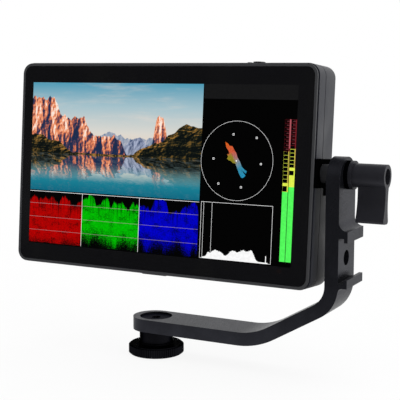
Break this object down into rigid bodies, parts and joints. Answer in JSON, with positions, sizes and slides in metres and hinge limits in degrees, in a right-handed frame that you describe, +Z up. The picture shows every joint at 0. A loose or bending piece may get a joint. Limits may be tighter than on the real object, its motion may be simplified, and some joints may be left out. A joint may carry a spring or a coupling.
{
  "type": "camera field monitor on a tilt arm",
  "caption": "Touch-screen field monitor on a bent side arm with a swivel post, knurled lock wheel, winged clamp knob, side cold shoe and rear battery plate.",
  "frame": {"origin": "middle of the swivel post's underside, at the mouth of the camera thread", "axes": "+Z up along the swivel post, +X to the viewer's right towards the tilt arm, -Y out of the screen towards the viewer"},
  "size_m": [0.1754, 0.0311, 0.1325],
  "materials": {
    "frame_metal": "bead-blasted, dark grey anodised",
    "housing": "fine matt dark grey coat",
    "arm_metal": "satin black anodised",
    "steel_black": "blackened",
    "steel": "plain satin",
    "rubber_black": "matt",
    "front_glass": "polished, nearly black",
    "lamp": "clear tinted",
    "panel": "smooth",
    "diffuser": "white",
    "board": "solder mask",
    "ribbon": "thin film",
    "socket_metal": "plated",
    "plastic_black": "fine grain",
    "contact": "gold plated",
    "spreader": "plain rolled"
  },
  "bodies": {
    "foot": {"swivel_post": "steel_black", "base_bolt": "steel_black", "post_washer": "rubber_black"},
    "wheel": {"lock_wheel": "arm_metal"},
    "arm": {"tilt_arm": "arm_metal"},
    "monitor": {"front_frame": "frame_metal", "touch_glass": "front_glass", "indicator_lens": "lamp", "lcd_panel": "panel", "backlight_unit": "diffuser", "heat_spreader": "spreader", "mid_frame": "housing", "rear_cover": "housing", "rear_screws": "steel_black", "main_board": "board", "board_screws": "steel", "display_ribbon": "ribbon", "video_in_socket": "socket_metal", "video_out_socket": "socket_metal", "headphone_jack": "plastic_black", "usb_port": "socket_metal", "dc_jack": "plastic_black", "button_board": "board", "right_mount_block": "steel", "left_mount_block": "steel", "bottom_mount_block": "steel", "right_pad": "rubber_black", "left_pad": "rubber_black", "bottom_pad": "rubber_black", "battery_plate": "plastic_black", "plate_screws": "steel_black", "battery_contacts": "contact", "latch_spring": "steel", "pivot_stud": "steel", "outer_washer": "rubber_black"},
    "knob": {"clamp_knob": "arm_metal"},
    "power": {"power_button": "plastic_black"},
    "function": {"function_button": "plastic_black"},
    "latch": {"battery_latch": "plastic_black"}
  },
  "joints": [
    {"name": "wheel_turn", "type": "hinge", "parent": "foot", "child": "wheel", "pos_m": [0, 0, 0.00255], "axis": [0, 0, 1], "continuous": true},
    {"name": "arm_swivel", "type": "hinge", "parent": "foot", "child": "arm", "pos_m": [0, 0, 0.01445], "axis": [0, 0, 1], "continuous": true},
    {"name": "monitor_tilt", "type": "hinge", "parent": "arm", "child": "monitor", "pos_m": [0.085, 0, 0.08658], "axis": [1, 0, 0], "continuous": true},
    {"name": "knob_turn", "type": "hinge", "parent": "monitor", "child": "knob", "pos_m": [0.1008, 0, 0.08658], "axis": [1, 0, 0], "continuous": true},
    {"name": "power_press", "type": "slide", "parent": "monitor", "child": "power", "axis": [0, -0.0854, -0.9963], "range_m": [0, 0.0005], "stiffness_N_per_m": 1500},
    {"name": "function_press", "type": "slide", "parent": "monitor", "child": "function", "axis": [0, -0.0854, -0.9963], "range_m": [0, 0.0005], "stiffness_N_per_m": 1500},
    {"name": "latch_press", "type": "slide", "parent": "monitor", "child": "latch", "axis": [0, -0.9963, 0.0854], "range_m": [0, 0.0019], "stiffness_N_per_m": 800}
  ]
}
